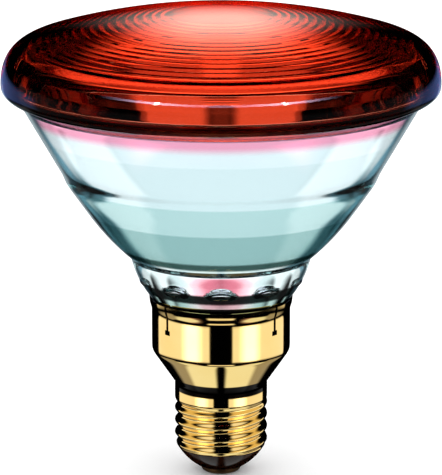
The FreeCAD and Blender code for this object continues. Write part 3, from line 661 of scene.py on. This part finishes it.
# %% Insulator and contact
flank = arc((6.3, 1.6), (9.8, 4.3), (12.5, 7.8))
insulator_line = profile([
    flank, [(11.67, 7.8), (11.67, 10.8), (0.55, 10.8), (0.55, 4.25), (1.85, 4.25), (1.85, 1.6), (6.2, 1.6)],
], soften=0.25, step=0.8, bend=8.0)
make_piece("insulator_cone", turned_grid(insulator_line, columns=144), [dark_glass],
           ["insulator"], crease=50)
contact_line = profile([
    [(1.4, 0.0), (4.7, 0.0)], arc((4.7, 0.0), (5.336, 0.264), (5.6, 0.9)),
    [(5.6, 1.6), (1.8, 1.6), (1.8, 4.2), (1.4, 4.2), (1.4, 0.06)],
], soften=0.12, step=0.5, bend=10.0)
make_piece("contact_plate", turned_grid(contact_line, columns=128), [metals["stamped_brass_in_painted_shade"]],
           ["centre_contact"], crease=50)

# %% [markdown]
# ## The filament mount
# Ferrules, posts, bridge, anchor, tube and leads sit deep inside, and their CAD shapes are right, so they
# stay as they are and only get the metals and the glass they are made of.

# %% Filament mount
finishes = {"contact_solder": "soft_solder", "shell_solder": "soft_solder", "ferrule_left": "nickel_iron",
            "ferrule_right": "nickel_iron", "post_left": "nickel_wire", "post_right": "nickel_wire",
            "filament_anchor": "nickel_wire", "filament": "tungsten_wire", "contact_lead": "tinned_copper",
            "shell_lead": "tinned_copper"}
for node, finish in finishes.items():
    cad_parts[node].data.materials[0] = metals[finish]
for node in ("exhaust_tube", "post_bridge"):
    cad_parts[node].data.materials[0] = clear
print(len(finishes) + 2, "CAD nodes keep their shape")

# %% [markdown]
# ## The studio
# Glass and brass show what surrounds them, so the light is a room of soft panels: tall ones at both sides,
# a long one above the camera, a pale reflector below, and black gaps in front and behind. The floor is
# pale paper, left out of reflections so that it doesn't hide the reflector below.

# %% Floor
PAPER_RADIUS, PAPER_DROP, SPOKES = 4000, 0.05, 96      # the drop keeps contact and paper from coinciding
angle = np.linspace(0, 2 * np.pi, SPOKES, endpoint=False)
rim = np.stack([PAPER_RADIUS * np.cos(angle), PAPER_RADIUS * np.sin(angle), 0 * angle - PAPER_DROP], 1)
spoke = np.arange(SPOKES)
fan = np.stack([np.full(SPOKES, SPOKES), spoke, np.roll(spoke, -1)], 1)
floor_mesh = fill_mesh("floor", np.concatenate([rim, [[0, 0, -PAPER_DROP]]]), np.zeros((0, 4)), fan,
                       np.zeros(SPOKES))
# a pale matt ground that catches only a soft shadow
paper, tree = new_finish("studio_paper")
place = add(tree, "TexCoord").outputs["Object"]
fibre = add(tree, "TexNoise", {"Vector": place, "Scale": per_metre(40), "Detail": 3.0}).outputs["Fac"]
tone = add(tree, "Mix", {0: fibre, 6: linear("#FBFBFB"), 7: linear("#F7F7F7")}, data_type="RGBA").outputs[2]
matt = add(tree, "BsdfPrincipled", {"Base Color": tone, "Roughness": 0.9, "Specular IOR Level": 0.1})
add(tree, "OutputMaterial", {"Surface": matt.outputs[0]})
floor_mesh.materials.append(paper)
floor = bpy.data.objects.new("floor", floor_mesh)
bpy.context.scene.collection.objects.link(floor)
floor.visible_glossy = False
floor.visible_transmission = False
print("floor", len(floor_mesh.polygons), "faces")

# %% [markdown]
# ## The panels
# A world shader draws the room by direction, without noise. Bearing is measured round from the camera, rise
# from the horizon, tilt from the camera over the top. A polarising filter takes a panel's reflection off
# glass but not off metal, and the red lens swallows most of what passes through it, so each panel has three
# strengths: on metal, on glass and through glass. The paper and the camera see plain white.

# %% Directions
world = bpy.data.worlds.new("studio")
bpy.context.scene.world = world
world.use_nodes = True
tree = world.node_tree
tree.nodes.clear()
world.cycles.sampling_method = "NONE"
way = add(tree, "SeparateXYZ", {0: add(tree, "TexCoord").outputs["Generated"]}).outputs
side = add(tree, "Math", {0: way[0]}, operation="ABSOLUTE").outputs[0]
toward = add(tree, "Math", {0: way[1], 1: -1.0}, operation="MULTIPLY").outputs[0]
bearing = add(tree, "Math", {0: side, 1: toward}, operation="ARCTAN2").outputs[0]
rise = add(tree, "Math", {0: way[2]}, operation="ARCSINE").outputs[0]
tilt = add(tree, "Math", {0: way[2], 1: toward}, operation="ARCTAN2").outputs[0]
bearing, rise, tilt = (add(tree, "Math", {0: turned, 1: 180 / math.pi}, operation="MULTIPLY").outputs[0]
                       for turned in (bearing, rise, tilt))
print("direction nodes:", len(tree.nodes))

# %% Panels
# each panel lies between limits, as (angle, low, high, soft edge) in degrees, or of the sideways share of
# the direction, and has a colour and three strengths: on metal, on sharp glass, and through glass
panels = (
    (((bearing, 19, 128, 2), (rise, -21, 3, 3)), "#FFFFFF", 0.95, 0.1, 0.0),
    (((bearing, 36, 64, 9), (rise, -21, 0, 3)), "#FFFFFF", 1.3, 0.0, 0.0),
    (((bearing, 19, 128, 2), (rise, -21, -9, 3)), "#FFFFFF", 0.0, 0.0, 0.95),
    (((tilt, -114, -57, 2.5), (rise, -100, -60, 3)), "#F2FAFB", 0.0, 0.1, 1.03),
    (((tilt, -114, -57, 2.5), (rise, -100, -60, 3), (side, 0.08, 2, 0.04)), "#F2FAFB", 0.95, 0.0, 0.0),
    (((tilt, -114, -57, 2.5), (rise, -60, -38, 3), (bearing, -10, 92, 6)), "#F2FAFB", 0.9, 0.1, 1.03),
    (((tilt, -57, -51, 2.5), (rise, -60, -38, 3), (bearing, -10, 60, 15)), "#F6E8EC", 0.0, 0.0, 0.6),
    (((tilt, -57, -20, 2.5), (rise, -52, -37, 3), (bearing, 50, 92, 18)), "#F4CCD2", 0.8, 0.0, 0.75),
    (((bearing, 92, 139, 5), (rise, -60, -30, 3)), "#FFFFFF", 0.35, 0.1, 1.15),
    (((bearing, 126, 147, 3), (rise, -31, -20, 4)), "#FFFFFF", 0.0, 0.2, 0.95),
    (((bearing, 137, 152, 4), (rise, -48, -31, 3)), "#8FBCC8", 0.0, 0.0, 0.45),
    (((bearing, 147, 160, 3), (rise, -30, -20, 4)), "#9CC8D8", 0.0, 0.3, 0.8),
    (((bearing, 112, 166, 5), (rise, -16, -4, 3)), "#7A90D4", 0.0, 0.85, 0.0),
    (((bearing, 158, 172, 4), (rise, -23, -12, 4)), "#D4E8F0", 0.0, 0.8, 0.0),
    (((bearing, -10, 58, 32), (rise, -54, -43, 2.5)), "#FF90A4", 0.0, 0.0, 1.0),
    (((bearing, -10, 24, 4), (rise, -45, -33, 2)), "#FFFFFF", 0.9, 0.0, 0.0),
    (((bearing, 24, 112, 8), (rise, 5, 40, 4)), "#FFE8B0", 0.75, 0.0, 0.0),
    (((bearing, 34, 122, 8), (rise, 49, 78, 5)), "#FFFFFF", 0.9, 0.0, 0.3),
    (((bearing, -10, 70, 7), (rise, 14, 26, 3)), "#FFFFFF", 0.0, 0.0, 1.2),
    (((bearing, -10, 62, 12), (rise, 28, 34, 1)), "#E6D8FF", 0.0, 5.0, 1.5),
    (((bearing, 24, 48, 12), (rise, 29, 34, 1)), "#F4ECFF", 0.0, 8.0, 0.0),
    (((bearing, 35, 37, 1), (rise, 27, 35, 1)), "#FFFFFF", 0.0, 40.0, 0.0),
    (((bearing, -10, 13, 6), (rise, 34, 44.6, 1.5)), "#FFFFFF", 0.0, 0.1, 1.7),
    (((bearing, 13, 66, 6), (rise, 35, 50, 2)), "#FFFFFF", 0.0, 0.1, 0.9),
    (((bearing, -10, 9, 5), (rise, 44.6, 50, 1.5)), "#FFFFFF", 0.0, 0.0, 0.2),
    (((bearing, 175.5, 190, 3.5), (rise, 11, 31, 9)), "#FFF4E8", 0.0, 1.85, 0.0),
    (((bearing, 177.0, 190, 2.0), (rise, -14, 0, 3)), "#FFFAF6", 0.0, 0.0, 3.1),
    (((bearing, 178.0, 190, 1.6), (rise, 0, 18, 3)), "#FFFAF6", 0.0, 0.0, 1.3),
)
print(len(panels), "panels")

# %% The room
ROOM_WHITE = (1.3, 1.3, 1.3, 1.0)       # what paper and camera see, a little over white
ray = add(tree, "LightPath").outputs
light = None
for limits, colour, on_metal, on_glass, through in panels:
    amount = add(tree, "MapRange", {"Value": ray["Is Singular Ray"], "To Min": on_metal,
                                    "To Max": on_glass}).outputs["Result"]
    amount = add(tree, "Mix", {0: ray["Is Transmission Ray"], 2: amount, 3: through}).outputs[0]
    for value, low, high, soft in limits:
        for start, end in ((low - soft, low + soft), (high + soft, high - soft)):
            step = add(tree, "MapRange", {"Value": value, "From Min": start, "From Max": end},
                       interpolation_type="SMOOTHSTEP").outputs["Result"]
            amount = add(tree, "Math", {0: amount, 1: step}, operation="MULTIPLY").outputs[0]
    shade = add(tree, "VectorMath", {0: linear(colour)[:3], "Scale": amount}, operation="SCALE").outputs[0]
    light = shade if light is None else add(tree, "VectorMath", {0: light, 1: shade}).outputs[0]
plain = add(tree, "Math", {0: ray["Is Camera Ray"], 1: ray["Is Diffuse Ray"]},
            operation="MAXIMUM").outputs[0]
room = add(tree, "Mix", {0: plain, 6: light, 7: ROOM_WHITE}, data_type="RGBA").outputs[2]
add(tree, "OutputWorld", {0: add(tree, "Background", {"Color": room}).outputs[0]})
print("nodes in the room:", len(tree.nodes))

# %% [markdown]
# ## Picture settings
# The photograph is contrasty, so the picture gets a contrast curve. Light crosses many glass faces here,
# so paths may be long; caustics are noise in a room without small lamps, so they stay off.

# %% Picture settings
scene = bpy.context.scene
scene.view_settings.view_transform = "Standard"
scene.view_settings.look = "Medium High Contrast"
scene.cycles.max_bounces = 24
scene.cycles.transmission_bounces = 20
scene.cycles.glossy_bounces = 12
scene.cycles.caustics_refractive = False
scene.cycles.caustics_reflective = False
print(scene.view_settings.look, scene.cycles.max_bounces, "bounces")
